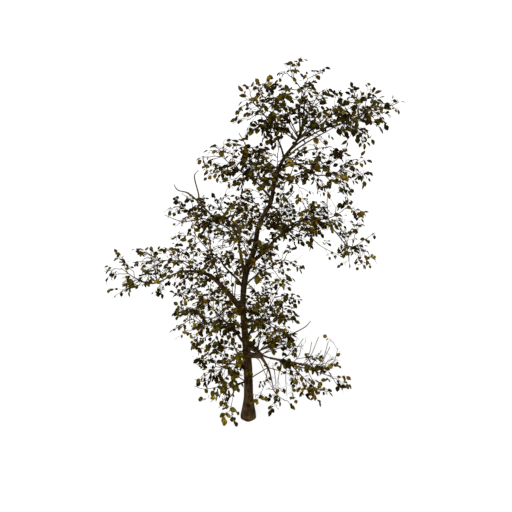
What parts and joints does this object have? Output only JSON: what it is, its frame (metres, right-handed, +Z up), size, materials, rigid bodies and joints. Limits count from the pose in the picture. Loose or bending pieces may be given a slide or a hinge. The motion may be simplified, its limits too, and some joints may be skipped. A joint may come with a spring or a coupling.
{
  "type": "alder tree",
  "caption": "Young alder tree with a flared leaning trunk, open spreading boughs and masses of pointed olive leaves, standing rooted on level ground.",
  "frame": {"origin": "middle of the flat cut under the trunk, at ground level", "axes": "+Z up along the trunk, +X to the side the crown leans to, +Y to the back of the tree as the picture shows it"},
  "size_m": [5.3408, 3.1855, 7.5059],
  "materials": {
    "bark": "rough grey-brown bark",
    "foliage": "dull olive green leaves"
  },
  "bodies": {
    "root": {"bough_back_high": "bark", "bough_front_high": "bark", "bough_front_left": "bark", "bough_front_right": "bark", "bough_left_arm": "bark", "bough_left_high": "bark", "bough_left_high_end": "bark", "bough_left_riser": "bark", "bough_low_back_left": "bark", "bough_low_back_right": "bark", "bough_low_front": "bark", "bough_low_hanging": "bark", "bough_low_left": "bark", "bough_low_right": "bark", "bough_mid_back": "bark", "bough_mid_back_left": "bark", "bough_mid_right": "bark", "bough_right_arm": "bark", "bough_right_droop": "bark", "bough_right_tip": "bark", "bough_top_inner": "bark", "bough_top_left": "bark", "bough_top_right": "bark", "bough_top_right_end": "bark", "bough_upper_back": "bark", "bough_upper_front": "bark", "bough_upper_left": "bark", "bough_upper_right": "bark", "leaves_back_high": "foliage", "leaves_front_high": "foliage", "leaves_front_left": "foliage", "leaves_front_right": "foliage", "leaves_left_arm": "foliage", "leaves_left_high": "foliage", "leaves_left_high_end": "foliage", "leaves_left_riser": "foliage", "leaves_low_back_left": "foliage", "leaves_low_back_right": "foliage", "leaves_low_front": "foliage", "leaves_low_hanging": "foliage", "leaves_low_left": "foliage", "leaves_low_right": "foliage", "leaves_mid_back": "foliage", "leaves_mid_back_left": "foliage", "leaves_mid_right": "foliage", "leaves_right_arm": "foliage", "leaves_right_droop": "foliage", "leaves_right_tip": "foliage", "leaves_top_centre": "foliage", "leaves_top_inner": "foliage", "leaves_top_left": "foliage", "leaves_top_right": "foliage", "leaves_top_right_end": "foliage", "leaves_upper_back": "foliage", "leaves_upper_front": "foliage", "leaves_upper_left": "foliage", "leaves_upper_right": "foliage", "trunk": "bark"}
  },
  "joints": []
}
